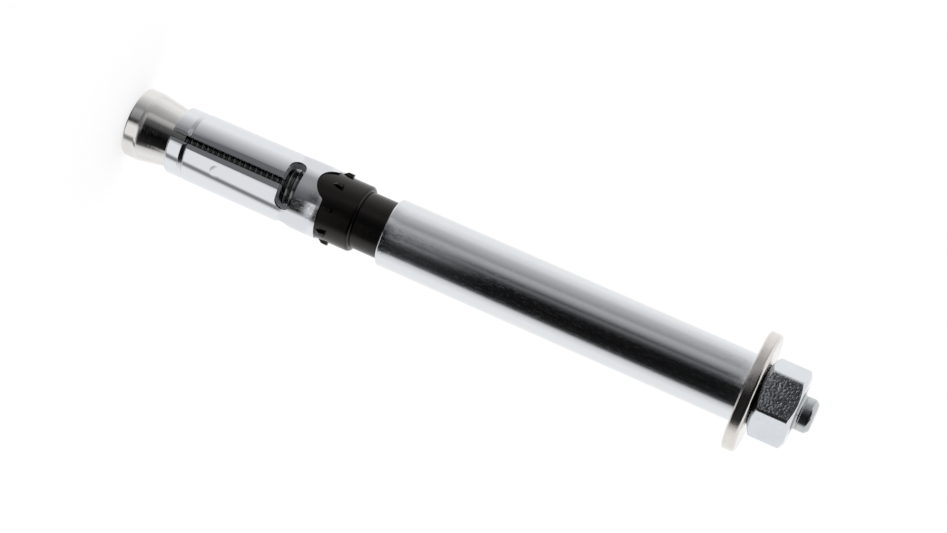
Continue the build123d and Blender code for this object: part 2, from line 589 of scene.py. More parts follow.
def make_tongue_block(gap):
    """The space of the crush sleeve, with its two round tongues, grown by a gap."""
    radius = TONGUE_RADIUS + gap
    rise = TONGUE_RADIUS - TONGUE_DEPTH
    corner = TONGUE_CORNER - gap
    foot = sqrt((radius + corner) ** 2 - (rise + corner) ** 2)
    lean = degrees(atan2(rise + corner, foot))
    left = arc(-foot, SEAM_HEIGHT - corner, corner, 90, lean, steps=8)
    bow = arc(0, SEAM_HEIGHT + rise, radius, 180 + lean, 360 - lean, steps=48)
    right = arc(foot, SEAM_HEIGHT - corner, corner, 180 - lean, 90, steps=8)
    outline = [
        (-BLOCK_REACH, BLOCK_TOP),
        (-BLOCK_REACH, SEAM_HEIGHT),
        *left,
        *bow[1:-1],
        *right,
        (BLOCK_REACH, SEAM_HEIGHT),
        (BLOCK_REACH, BLOCK_TOP),
    ]
    body = drawn_block("tongue_block", outline, -BLOCK_REACH, BLOCK_REACH)
    turned_block = copy_of(body, TONGUE_ANGLE + 90)
    bpy.data.objects.remove(body)
    return turned_block


def make_expansion_sleeve(material):
    """The slotted sleeve, cut from a turned blank that runs a little past the seam."""
    mouth = (COLLAR_RADIUS, SLEEVE_FOOT)
    collar_end = (COLLAR_RADIUS, COLLAR_TOP)
    finger_foot = (FINGER_RADIUS, FINGER_FOOT)
    outline = [
        (MOUTH_RADIUS, SLEEVE_FOOT),
        mouth,
        collar_end,
        (GROOVE_RADIUS, GROOVE_HEIGHT),
        finger_foot,
        (SEAM_RADIUS, SEAM_HEIGHT),
        (SEAM_RADIUS, SEAM_HEIGHT + SEAM_SPARE),
        (SLEEVE_BORE, SEAM_HEIGHT + SEAM_SPARE),
        (SLEEVE_BORE, SEAT_TOP),
    ]
    sleeve = turned("expansion_shell", outline, steps=240)
    round_ring(sleeve, *mouth, size=0.8, segments=6)
    round_ring(sleeve, *collar_end, size=0.3, segments=4)
    round_ring(sleeve, *finger_foot, size=0.2, segments=4)
    boolean(sleeve, make_tongue_block(TONGUE_GAP), "DIFFERENCE")
    for cutter in (make_slot_cutter(), make_cross_cutter(), make_cross_ends()):
        cutters = [copy_of(cutter, angle) for angle in SLOT_ANGLES]
        bpy.data.objects.remove(cutter)
        boolean(sleeve, joined(cutters), "DIFFERENCE")
    finish_piece(sleeve, "expansion_sleeve", material)


def make_barb():
    """One barb of the crush sleeve at angle 0, widening and rising from its point."""
    barb = new_plane("barb")
    root = (BARB_ROOT_RADIUS, 0, 0)
    scale_by((BARB_POINT_DEPTH, BARB_POINT_WIDTH, 1))
    bpy.ops.transform.translate(value=(BARB_ROOT_RADIUS + BARB_POINT_DEPTH / 2, 0, BARB_FOOT))
    extrude_by((0, 0, BARB_SHOULDER_RISE))
    scale_by((BARB_DEEPENING, BARB_WIDENING, 1), centre=root)
    extrude_by((0, 0, BARB_TOP_RISE))
    scale_by((1, BARB_TOP_WIDENING, 1), centre=root)
    face_outwards()
    bpy.ops.object.mode_set(mode="OBJECT")
    return barb


def make_crush_sleeve(material):
    """The moulded sleeve with its two tongues, its barbs and its neck."""
    shoulder = (CRUSH_RADIUS, SHOULDER_HEIGHT)
    outline = [
        (CRUSH_BORE, CRUSH_FOOT),
        (CRUSH_RADIUS, CRUSH_FOOT),
        shoulder,
        (NECK_RADIUS, SHOULDER_HEIGHT),
        (NECK_RADIUS, NECK_TOP),
        (CRUSH_BORE, NECK_TOP),
    ]
    sleeve = turned("crush_body", outline)
    round_ring(sleeve, *shoulder, size=SHOULDER_ROUND, segments=8)
    boolean(sleeve, make_tongue_block(0), "INTERSECT")
    barb = make_barb()
    between = 360 / BARB_COUNT
    barbs = [copy_of(barb, BARB_ANGLE + between * number) for number in range(BARB_COUNT)]
    bpy.data.objects.remove(barb)
    boolean(sleeve, joined(barbs), "UNION")
    finish_piece(sleeve, "crush_sleeve", material)


def make_distance_sleeve(material):
    """The plain tube, chamfered at both ends."""
    outline = [
        (SOCKET_RADIUS, TUBE_FOOT),
        (TUBE_RADIUS - TUBE_CHAMFER, TUBE_FOOT),
        (TUBE_RADIUS, TUBE_FOOT + TUBE_CHAMFER),
        (TUBE_RADIUS, WASHER_FOOT - TUBE_CHAMFER),
        (TUBE_RADIUS - TUBE_CHAMFER, WASHER_FOOT),
        (TUBE_BORE, WASHER_FOOT),
        (TUBE_BORE, SOCKET_TOP),
        (SOCKET_RADIUS, SOCKET_TOP),
    ]
    tube = turned("tube", outline)
    soften(tube, TUBE_SOFTNESS)
    finish_piece(tube, "distance_sleeve", material)


def make_washer(material):
    """The stamped washer, rounded at its rim."""
    foot_rim = (WASHER_RADIUS, WASHER_FOOT)
    top_rim = (WASHER_RADIUS, WASHER_TOP)
    outline = [
        (WASHER_BORE + WASHER_BORE_CHAMFER, WASHER_FOOT),
        foot_rim,
        top_rim,
        (WASHER_BORE + WASHER_BORE_CHAMFER, WASHER_TOP),
        (WASHER_BORE, WASHER_TOP - WASHER_BORE_CHAMFER),
        (WASHER_BORE, WASHER_FOOT + WASHER_BORE_CHAMFER),
    ]
    washer = turned("thick_washer", outline)
    round_ring(washer, *foot_rim, size=WASHER_FOOT_ROUND, segments=6)
    round_ring(washer, *top_rim, size=WASHER_TOP_ROUND, segments=8)
    finish_piece(washer, "washer", material)


def make_hexagon():
    """The hexagon that the nut is cut to, longer than the nut and rounded along its corners."""
    deselect_all()
    bpy.ops.mesh.primitive_cylinder_add(
        vertices=6, radius=NUT_CORNER_RADIUS, depth=HEXAGON_LENGTH, location=(0, 0, 0)
    )
    prism = bpy.context.object
    bpy.ops.object.mode_set(mode="EDIT")
    bpy.ops.transform.translate(value=(0, 0, (WASHER_TOP + NUT_TOP) / 2))
    turn_about("Z", NUT_TURN)
    bpy.ops.object.mode_set(mode="OBJECT")
    soften(prism, NUT_CORNER_ROUND, segments=4)
    return prism


def make_nut(material):
    """The nut: a hexagon cut to its chamfers, with a thread that fits the rod's."""
    outline = [
        (NUT_FOOT_FACE, WASHER_TOP),
        (NUT_BLANK_RADIUS, NUT_FOOT_CHAMFER_TOP),
        (NUT_BLANK_RADIUS, NUT_TOP_CHAMFER_FOOT),
        (NUT_TOP_FACE, NUT_TOP),
    ]
    nut = turned("nut_body", outline, bored=False)
    boolean(nut, make_hexagon(), "INTERSECT")
    soften(nut, NUT_SOFTNESS, segments=3, angle=25)
    hole_radius = NUT_MOUTH_RADIUS - NUT_MOUTH_CHAMFER
    hole = [
        (NUT_MOUTH_RADIUS, WASHER_TOP - NUT_MOUTH_SPARE),
        (NUT_MOUTH_RADIUS, WASHER_TOP),
        (hole_radius, WASHER_TOP + NUT_MOUTH_CHAMFER),
        (hole_radius, NUT_TOP - NUT_MOUTH_CHAMFER),
        (NUT_MOUTH_RADIUS, NUT_TOP),
        (NUT_MOUTH_RADIUS, NUT_TOP + NUT_MOUTH_SPARE),
    ]
    boolean(nut, turned("mouths", hole, bored=False), "DIFFERENCE")
    core = make_thread_core("nut_thread", bottom=222, turns=12, gap=NUT_THREAD_GAP)
    boolean(nut, core, "DIFFERENCE")
    finish_piece(nut, "hex_nut", material, sharp=30)


def tree_of(holder):
    """The nodes and links of a material or a world."""
    return holder.node_tree.nodes, holder.node_tree.links


def new_material(name):
    """A material with its nodes, its links and its shader."""
    material = bpy.data.materials.new(name)
    material.use_nodes = True
    nodes, links = tree_of(material)
    return material, nodes, links, nodes["Principled BSDF"]


def new_bare_material(name):
    """A material with its nodes, its links and its output, and no shader yet."""
    material = bpy.data.materials.new(name)
    material.use_nodes = True
    nodes, links = tree_of(material)
    nodes.clear()
    return material, nodes, links, nodes.new("ShaderNodeOutputMaterial")


def new_math(nodes, operation, kind="ShaderNodeMath"):
    """A node for one step of arithmetic."""
    node = nodes.new(kind)
    node.operation = operation
    return node


def new_vector_math(nodes, operation):
    return new_math(nodes, operation, "ShaderNodeVectorMath")


def add_relief(material, height, depth):
    """Raises a finish by a depth where a height is one, over the relief that it may have."""
    nodes, links = tree_of(material)
    normal = nodes["Principled BSDF"].inputs["Normal"]
    relief = nodes.new("ShaderNodeBump")
    relief.inputs["Distance"].default_value = depth
    links.new(height, relief.inputs["Height"])
    if normal.is_linked:
        links.new(normal.links[0].from_socket, relief.inputs["Normal"])
    links.new(relief.outputs["Normal"], normal)


def add_socket(tree, name, direction, kind, value=None):
    socket = tree.interface.new_socket(name=name, in_out=direction, socket_type=kind)
    if value is not None:
        socket.default_value = value
    return socket


def make_plating_group():
    """Zinc plating: colour clouds, frosted specks on the gloss, and a fine grain with pits. The
    grain is drawn out along the way that the surface was worked."""
    tree = bpy.data.node_groups.new("zinc plating", "ShaderNodeTree")
    add_socket(tree, "Vector", "INPUT", "NodeSocketVector")
    add_socket(tree, "Drawn Out", "INPUT", "NodeSocketVector")
    add_socket(tree, "Light Colour", "INPUT", "NodeSocketColor", (0.80, 0.80, 0.80, 1))
    add_socket(tree, "Dark Colour", "INPUT", "NodeSocketColor", (0.72, 0.74, 0.77, 1))
    add_socket(tree, "Grain Scale", "INPUT", "NodeSocketFloat", 1600.0)
    add_socket(tree, "Grain Detail", "INPUT", "NodeSocketFloat", 4.0)
    add_socket(tree, "Gloss Low", "INPUT", "NodeSocketFloat", 0.12)
    add_socket(tree, "Gloss High", "INPUT", "NodeSocketFloat", 0.22)
    add_socket(tree, "Pit Size", "INPUT", "NodeSocketFloat", 0.06)
    add_socket(tree, "Pit Floor", "INPUT", "NodeSocketFloat", -2.0)
    add_socket(tree, "Colour", "OUTPUT", "NodeSocketColor")
    add_socket(tree, "Roughness", "OUTPUT", "NodeSocketFloat")
    add_socket(tree, "Height", "OUTPUT", "NodeSocketFloat")
    nodes, links = tree.nodes, tree.links
    inputs = nodes.new("NodeGroupInput")
    outputs = nodes.new("NodeGroupOutput")
    drawn = new_vector_math(nodes, "MULTIPLY")
    links.new(inputs.outputs["Vector"], drawn.inputs[0])
    links.new(inputs.outputs["Drawn Out"], drawn.inputs[1])

    clouds = nodes.new("ShaderNodeTexNoise")
    clouds.inputs["Scale"].default_value = 120.0
    clouds.inputs["Detail"].default_value = 4.0
    clouds.inputs["Roughness"].default_value = 0.6
    links.new(drawn.outputs[0], clouds.inputs["Vector"])
    tint = nodes.new("ShaderNodeMix")
    tint.data_type = "RGBA"
    links.new(clouds.outputs["Fac"], tint.inputs["Factor"])
    links.new(inputs.outputs["Light Colour"], tint.inputs["A"])
    links.new(inputs.outputs["Dark Colour"], tint.inputs["B"])
    links.new(tint.outputs["Result"], outputs.inputs["Colour"])

    grain = nodes.new("ShaderNodeTexNoise")
    links.new(inputs.outputs["Grain Detail"], grain.inputs["Detail"])
    grain.inputs["Roughness"].default_value = 0.7
    links.new(drawn.outputs[0], grain.inputs["Vector"])
    links.new(inputs.outputs["Grain Scale"], grain.inputs["Scale"])
    gloss = nodes.new("ShaderNodeMapRange")
    gloss.interpolation_type = "SMOOTHSTEP"
    links.new(grain.outputs["Fac"], gloss.inputs["Value"])
    gloss.inputs["From Min"].default_value = 0.38
    gloss.inputs["From Max"].default_value = 0.70
    links.new(inputs.outputs["Gloss Low"], gloss.inputs["To Min"])
    links.new(inputs.outputs["Gloss High"], gloss.inputs["To Max"])
    links.new(gloss.outputs["Result"], outputs.inputs["Roughness"])

    pits = nodes.new("ShaderNodeTexVoronoi")
    pits.inputs["Scale"].default_value = 330.0
    links.new(inputs.outputs["Vector"], pits.inputs["Vector"])
    rims = nodes.new("ShaderNodeMapRange")
    links.new(pits.outputs["Distance"], rims.inputs["Value"])
    links.new(inputs.outputs["Pit Size"], rims.inputs["From Max"])
    links.new(inputs.outputs["Pit Floor"], rims.inputs["To Min"])
    rims.inputs["To Max"].default_value = 0.0
    total = new_math(nodes, "ADD")
    links.new(grain.outputs["Fac"], total.inputs[0])
    links.new(rims.outputs[0], total.inputs[1])
    links.new(total.outputs[0], outputs.inputs["Height"])
    return tree


def zinc(name, light, dark, grain, bump, gloss, drawn=(1, 1, 1), pits=(0.06, -2.0), detail=4.0):
    """A bright zinc-plated steel. It has its own light and dark tint, scale and detail of the
    grain, bump depth in millimetres, low and high roughness, stretch of the grain, and size and
    depth of its pits."""
    material, nodes, links, shader = new_material(name)
    place = nodes.new("ShaderNodeTexCoord")
    plating = nodes.new("ShaderNodeGroup")
    plating.node_tree = PLATING
    plating.inputs["Drawn Out"].default_value = drawn
    plating.inputs["Light Colour"].default_value = (*light, 1)
    plating.inputs["Dark Colour"].default_value = (*dark, 1)
    plating.inputs["Grain Scale"].default_value = grain
    plating.inputs["Grain Detail"].default_value = detail
    plating.inputs["Gloss Low"].default_value = gloss[0]
    plating.inputs["Gloss High"].default_value = gloss[1]
    plating.inputs["Pit Size"].default_value = pits[0]
    plating.inputs["Pit Floor"].default_value = pits[1]
    links.new(place.outputs["Object"], plating.inputs["Vector"])
    links.new(plating.outputs["Colour"], shader.inputs["Base Color"])
    links.new(plating.outputs["Roughness"], shader.inputs["Roughness"])
    shader.inputs["Metallic"].default_value = 1.0
    add_relief(material, plating.outputs["Height"], bump * MM)
    return material


def reach_from_axis(material):
    """The distance from the axis of the spot that is shaded."""
    nodes, links = tree_of(material)
    flat = new_vector_math(nodes, "MULTIPLY")
    flat.inputs[1].default_value = (1, 1, 0)
    links.new(nodes["Texture Coordinate"].outputs["Object"], flat.inputs[0])
    reach = new_vector_math(nodes, "LENGTH")
    links.new(flat.outputs[0], reach.inputs[0])
    return reach.outputs["Value"]


def height_on_axis(material):
    """The height along the axis of the spot that is shaded."""
    nodes, links = tree_of(material)
    parts = nodes.new("ShaderNodeSeparateXYZ")
    links.new(nodes["Texture Coordinate"].outputs["Object"], parts.inputs[0])
    return parts.outputs["Z"]


def ramp_between(material, source, low, high, start=0.0, end=1.0):
    """A value that runs evenly from a start to an end between two places."""
    nodes, links = tree_of(material)
    ramp = nodes.new("ShaderNodeMapRange")
    ramp.inputs["From Min"].default_value = low
    ramp.inputs["From Max"].default_value = high
    ramp.inputs["To Min"].default_value = start
    ramp.inputs["To Max"].default_value = end
    links.new(source, ramp.inputs["Value"])
    return ramp.outputs[0]


def larger_of(material, first, second):
    nodes, links = tree_of(material)
    pick = new_math(nodes, "MAXIMUM")
    links.new(first, pick.inputs[0])
    links.new(second, pick.inputs[1])
    return pick.outputs[0]


def roughen_cuts(material, skin, rough, metallic):
    """Leaves the walls that were cut, inside of the outer skin, rougher and duller than the skin."""
    nodes, links = tree_of(material)
    shader = nodes["Principled BSDF"]
    reach = reach_from_axis(material)
    wall = skin - 0.2 * MM
    cut = ramp_between(material, reach, wall, skin, rough, 0.0)
    gloss = shader.inputs["Roughness"].links[0].from_socket
    links.new(larger_of(material, gloss, cut), shader.inputs["Roughness"])
    bare = ramp_between(material, reach, wall, skin, metallic, 1.0)
    links.new(bare, shader.inputs["Metallic"])


def darken_where(material, mask, share):
    """Multiplies a finish's colour by a share where a mask is one."""
    nodes, links = tree_of(material)
    shader = nodes["Principled BSDF"]
    tint = nodes.new("ShaderNodeMix")
    tint.data_type = "RGBA"
    tint.blend_type = "MULTIPLY"
    tint.inputs["B"].default_value = (share, share, share, 1)
    links.new(shader.inputs["Base Color"].links[0].from_socket, tint.inputs["A"])
    links.new(mask, tint.inputs["Factor"])
    links.new(tint.outputs["Result"], shader.inputs["Base Color"])


def paint_groove_shade(material, height, width, share):
    """A line of painted shade round a piece at one height, as at the bottom of a narrow groove."""
    nodes, links = tree_of(material)
    near = new_math(nodes, "COMPARE")
    near.inputs[1].default_value = height
    near.inputs[2].default_value = width / 2
    links.new(height_on_axis(material), near.inputs[0])
    darken_where(material, near.outputs[0], share)


def paint_thread_shade(material, colour, end):
    """Paints shade into the thread's grooves, and leaves its crests and the point past a height
    bright.
    """
    nodes, links = tree_of(material)
    shader = nodes["Principled BSDF"]
    bright_from = (CREST_RADIUS - 0.2) * MM
    crest = ramp_between(material, reach_from_axis(material), ROOT_RADIUS * MM, bright_from)
    point = ramp_between(material, height_on_axis(material), end - 0.5 * MM, end)
    tint = nodes.new("ShaderNodeMix")
    tint.data_type = "RGBA"
    tint.inputs["A"].default_value = (*colour, 1)
    links.new(shader.inputs["Base Color"].links[0].from_socket, tint.inputs["B"])
    links.new(larger_of(material, crest, point), tint.inputs["Factor"])
    links.new(tint.outputs["Result"], shader.inputs["Base Color"])


def add_dent(material, middle, radius, depth, shade_side, share):
    """A shallow round dent in a finish, over the relief that it has. One side of its rim is painted
    darker as the dent's shade, in a crescent that fades into the dent."""
    nodes, links = tree_of(material)
    offset = new_vector_math(nodes, "SUBTRACT")
    offset.inputs[1].default_value = middle
    links.new(nodes["Texture Coordinate"].outputs["Object"], offset.inputs[0])
    apart = new_vector_math(nodes, "LENGTH")
    links.new(offset.outputs[0], apart.inputs[0])
    hollow = ramp_between(material, apart.outputs["Value"], 0.0, radius, -1.0, 0.0)
    add_relief(material, hollow, depth)

    # Painted shade: a crescent on one side of the dent's rim is darkened.
    along = new_vector_math(nodes, "DOT_PRODUCT")
    along.inputs[1].default_value = shade_side
    links.new(offset.outputs[0], along.inputs[0])
    shaded_part = ramp_between(material, along.outputs["Value"], 0.4 * radius, 0.9 * radius)
    inside = ramp_between(material, apart.outputs["Value"], 0.9 * radius, radius, 1.0, 0.0)
    shade_crescent = new_math(nodes, "MULTIPLY")
    links.new(shaded_part, shade_crescent.inputs[0])
    links.new(inside, shade_crescent.inputs[1])
    darken_where(material, shade_crescent.outputs[0], share)


def black_plastic(name):
    """Satin moulded plastic, with a faint grain."""
    material, nodes, links, shader = new_material(name)
    place = nodes.new("ShaderNodeTexCoord")
    grain = nodes.new("ShaderNodeTexNoise")
    grain.inputs["Scale"].default_value = 900.0
    grain.inputs["Detail"].default_value = 4.0
    links.new(place.outputs["Object"], grain.inputs["Vector"])
    gloss = nodes.new("ShaderNodeMapRange")
    gloss.inputs["To Min"].default_value = 0.15
    gloss.inputs["To Max"].default_value = 0.25
    links.new(grain.outputs["Fac"], gloss.inputs["Value"])
    links.new(gloss.outputs["Result"], shader.inputs["Roughness"])
    add_relief(material, grain.outputs["Fac"], depth=0.006 * MM)
    shader.inputs["Base Color"].default_value = (0.0012, 0.001, 0.0008, 1)
    shader.inputs["Specular IOR Level"].default_value = 0.38
    shader.inputs["Specular Tint"].default_value = (1.0, 0.93, 0.88, 1)
    return material


def add_camera():
    """The camera, rolled so that the rod runs down to the right across the picture."""
    back = Vector((0, -cos(CAMERA_TILT), sin(CAMERA_TILT)))
    along = Vector((0, sin(CAMERA_TILT), cos(CAMERA_TILT)))
    across = Vector((1, 0, 0))
    right = along * cos(CAMERA_ROLL) - across * sin(CAMERA_ROLL)
    up = -(along * sin(CAMERA_ROLL) + across * cos(CAMERA_ROLL))
    place = Vector((0, 0, AIM_HEIGHT)) + back * CAMERA_DISTANCE
    data = bpy.data.cameras.new("camera")
    data.lens = LENS
    data.sensor_width = SENSOR
    data.shift_x = SHIFT_X
    data.shift_y = SHIFT_Y
    data.clip_start = 0.01
    data.clip_end = 20.0
    camera = bpy.data.objects.new("camera", data)
    bpy.context.scene.collection.objects.link(camera)
    turn = Matrix((right, up, back)).transposed().to_4x4()
    camera.matrix_world = Matrix.Translation(place) @ turn
    bpy.context.scene.camera = camera


def add_floor():
    """A small white round floor, just under the anchor, which keeps a soft shadow."""
    deselect_all()
    bpy.ops.mesh.primitive_circle_add(
        vertices=CLOTH_STEPS, radius=FLOOR_RADIUS, fill_type="NGON", location=(0, 0, -FLOOR_DROP)
    )
    floor = bpy.context.object
    floor.name = "floor"
    material, nodes, links, output = new_bare_material("white floor")
    surface = nodes.new("ShaderNodeBsdfDiffuse")
    surface.inputs["Color"].default_value = FLOOR_COLOUR
    glow = nodes.new("ShaderNodeEmission")
    path = nodes.new("ShaderNodeLightPath")
    both = nodes.new("ShaderNodeAddShader")
    seen = seen_directly(nodes, links, path)
    level = new_math(nodes, "MULTIPLY")
    level.inputs[1].default_value = FLOOR_GLOW
    links.new(seen, level.inputs[0])
    links.new(level.outputs[0], glow.inputs["Strength"])
    links.new(surface.outputs[0], both.inputs[0])
    links.new(glow.outputs[0], both.inputs[1])
    links.new(both.outputs[0], output.inputs["Surface"])
    floor.data.materials.append(material)
    floor.visible_glossy = False


def seen_directly(nodes, links, path):
    """One where a ray comes from the camera, from a glossy surface or through glass."""
    total = path.outputs["Is Camera Ray"]
    for name in ("Is Glossy Ray", "Is Transmission Ray"):
        add = new_math(nodes, "MAXIMUM")
        links.new(total, add.inputs[0])
        links.new(path.outputs[name], add.inputs[1])
        total = add.outputs[0]
    return total


# Light levels of the studio's cloths, by the angle about Z from the camera's side, in degrees
# towards -X. The tent goes round everything, and each other cloth hangs inside it, at the heights
# that one piece reflects.
TENT_LEVELS = (
    (-104, 1.0),
    (-86, 0.84),
    (-78, 0.64),
    (-70, 0.09),
    (-60, 0.015),
    (-40, 0.006),
    (-14, 0.010),
    (-4, 0.05),
    (5, 0.15),
    (13, 0.09),
    (27, 0.36),
    (37, 0.46),
    (48, 0.34),
    (76, 0.57),
    (90, 0.80),
    (118, 1.0),
)
TENT_FOOT_LEVELS = (
    (-104, 1.0),
    (-86, 0.84),
    (-78, 0.70),
    (-70, 0.12),
    (-58, 0.03),
    (-36, 0.03),
    (-24, 0.07),
    (-12, 0.21),
    (-3, 0.17),
    (8, 0.23),
    (24, 0.36),
    (37, 0.46),
    (52, 0.33),
    (80, 0.60),
    (92, 0.82),
    (118, 1.0),
)
TENT_HEAD_LEVELS = (
    (-88, 1.0),
    (-72, 0.02),
    (36, 0.02),
    (66, 1.0),
)
CONE_HEAD_LEVELS = (
    (-84, 0.94),
    (-76, 0.81),
    (-69, 0.26),
    (-60, 0.26),
    (-52, 0.95),
    (-20, 0.95),
    (-13, 0.60),
    (-7, 0.05),
    (0, 0.07),
    (8, 0.25),
    (30, 0.44),
    (44, 0.31),
    (75, 0.70),
    (100, 1.0),
)
TAPER_LEVELS = (
    (-92, 1.0),
    (-75, 0.80),
    (-66, 0.015),
    (-24, 0.002),
    (-3, 0.015),
    (3, 0.06),
    (18, 0.12),
    (28, 0.42),
    (38, 0.54),
    (46, 0.37),
    (62, 0.47),
    (88, 0.83),
    (104, 1.0),
)
FINGER_LEVELS = (
    (-92, 1.0),
    (-85, 0.85),
    (-78, 0.26),
    (-70, 0.26),
    (-62, 0.95),
    (-24, 0.95),
    (-15, 0.60),
    (-8, 0.14),
    (16, 0.17),
    (40, 0.30),
    (54, 0.48),
    (68, 0.63),
    (84, 0.84),
    (98, 1.0),
)
ROOT_LEVELS = (
    (-76, 0.92),
    (-66, 0.30),
    (-60, 0.02),
    (-30, 0.02),
    (-10, 0.13),
    (6, 0.19),
    (30, 0.34),
    (58, 0.37),
    (90, 0.90),
)
NUT_LEVELS = (
    (-90, 1.0),
    (-70, 0.05),
    (18, 0.01),
    (36, 0.16),
    (60, 0.50),
    (100, 1.0),
)
WASHER_LEVELS = (
    (-100, 1.0),
    (-76, 0.75),
    (-68, 0.02),
    (-10, 0.02),
    (5, 0.30),
    (20, 0.50),
    (45, 0.50),
    (90, 0.80),
    (115, 1.0),
)
POINT_LEVELS = (
    (-90, 1.0),
    (-74, 0.60),
    (-68, 0.02),
    (-5, 0.02),
    (20, 0.20),
    (52, 0.45),
    (95, 1.0),
)
DARK_CLOTH_LEVELS = (
    (-120, 0.90),
    (-70, 0.35),
    (-30, 0.04),
    (30, 0.02),
    (70, 0.30),
    (120, 0.90),
)
ROOT_LIGHT_LEVELS = (
    (-76, 0.92),
    (-66, 0.50),
    (-50, 0.90),
    (-22, 0.90),
    (-14, 0.08),
    (4, 0.06),
    (14, 0.18),
    (30, 0.30),
    (58, 0.37),
    (90, 0.90),
)


def level_ramp(nodes, levels):
    """A colour ramp over a full turn, a little cooler where it is dark."""
    ramp = nodes.new("ShaderNodeValToRGB")
    stops = ramp.color_ramp.elements
    while len(stops) > 1:
        stops.remove(stops[0])
    for number, (bearing, level) in enumerate(levels):
        where = (bearing + 180) / 360
        stop = stops[0] if number == 0 else stops.new(where)
        stop.position = where
        cool = 1.0 + COOLNESS * (1.0 - level)
        stop.color = (level, level, level * cool, 1)
    return ramp


def bearing_glow(name, levels, middle=0.0, fan=0.0, pivot=0.0, foot_levels=None, fade_span=(0, 1)):
    """A glowing cloth whose level follows the angle about Z. Away from a pivot in degrees the
    angles spread with the height above a middle height, by a share of themselves for a metre,
    and no further past a limit. It may have other levels at its foot, which fade into its own
    over a span of heights."""
    material, nodes, links, output = new_bare_material(name)
    glow = nodes.new("ShaderNodeEmission")
    place = nodes.new("ShaderNodeTexCoord")
    parts = nodes.new("ShaderNodeSeparateXYZ")
    links.new(place.outputs["Object"], parts.inputs[0])

    def step(operation, first, *rest):
        node = new_math(nodes, operation)
        links.new(first, node.inputs[0])
        for socket, value in zip(list(node.inputs)[1:], rest):
            if isinstance(value, float):
                socket.default_value = value
            else:
                links.new(value, socket)
        return node.outputs[0]

    left = step("MULTIPLY", parts.outputs["X"], -1.0)
    front = step("MULTIPLY", parts.outputs["Y"], -1.0)
    angle = step("ARCTAN2", left, front)
    height = step("SUBTRACT", parts.outputs["Z"], middle)
    held = step("MINIMUM", height, FAN_LIMIT)
    spread = step("MULTIPLY_ADD", held, fan, 1.0)
    apart = step("SUBTRACT", angle, radians(pivot))
    narrowed = step("DIVIDE", apart, spread)
    bearing = step("ADD", narrowed, radians(pivot))
    span = nodes.new("ShaderNodeMapRange")
    span.inputs["From Min"].default_value = -pi
    span.inputs["From Max"].default_value = pi
    links.new(bearing, span.inputs["Value"])
    ramp = level_ramp(nodes, levels)
    links.new(span.outputs[0], ramp.inputs[0])
    colour = ramp.outputs["Color"]
    if foot_levels:
        foot = level_ramp(nodes, foot_levels)
        links.new(span.outputs[0], foot.inputs[0])
        fade = nodes.new("ShaderNodeMapRange")
        fade.interpolation_type = "SMOOTHSTEP"
        fade.inputs["From Min"].default_value = fade_span[0]
        fade.inputs["From Max"].default_value = fade_span[1]
        links.new(parts.outputs["Z"], fade.inputs["Value"])
        blend = nodes.new("ShaderNodeMix")
        blend.data_type = "RGBA"
        links.new(fade.outputs[0], blend.inputs["Factor"])
        links.new(foot.outputs["Color"], blend.inputs["A"])
        links.new(colour, blend.inputs["B"])
        colour = blend.outputs["Result"]
    links.new(colour, glow.inputs["Color"])
    links.new(glow.outputs[0], output.inputs["Surface"])
    return material


def hang_cloth(name, radius, low, high, material):
    """A round cloth of the studio, which the camera doesn't see directly."""
    cloth = new_circle(name, radius, low, CLOTH_STEPS)
    pull_rings([(radius, low), (radius, high)])
    bpy.ops.object.mode_set(mode="OBJECT")
    bpy.ops.object.shade_smooth()
    stage_cloth(cloth, material)
    return cloth


def stage_cloth(cloth, material):
    """Gives a cloth its glow, and keeps it out of the picture and of the shadows."""
    cloth.data.materials.append(material)
    cloth.visible_camera = False
    cloth.visible_shadow = False


def hang_inner_cloth(name, levels, low, high, radius=CLOTH_RADIUS, fan=0.0, pivot=0.0):
    """A cloth inside the tent, which the floor doesn't see."""
    middle = (low + high) / 2
    glow = bearing_glow(name.replace("_", " "), levels, middle, fan, pivot)
    cloth = hang_cloth(name, radius, low, high, glow)
    cloth.visible_diffuse = False


def add_inner_cloths():
    """The cloths for the cone's head, the fingers, the taper, the nut, the washer and the point."""
    hang_inner_cloth("head_cloth", CONE_HEAD_LEVELS, TENT_FOOT, HEAD_CLOTH_TOP)
    hang_inner_cloth(
        "finger_cloth", FINGER_LEVELS, HEAD_CLOTH_TOP, FINGER_CLOTH_TOP, fan=1.3, pivot=60.0
    )
    hang_inner_cloth(
        "taper_cloth", TAPER_LEVELS, low=0.003, high=0.03, radius=0.3, fan=8.0, pivot=20.0
    )
    hang_inner_cloth("nut_cloth", NUT_LEVELS, low=0.19, high=0.24, radius=0.62)
    hang_inner_cloth("washer_cloth", WASHER_LEVELS, low=0.178, high=0.1868)
    hang_inner_cloth("point_cloth", POINT_LEVELS, low=0.2145, high=0.2195)


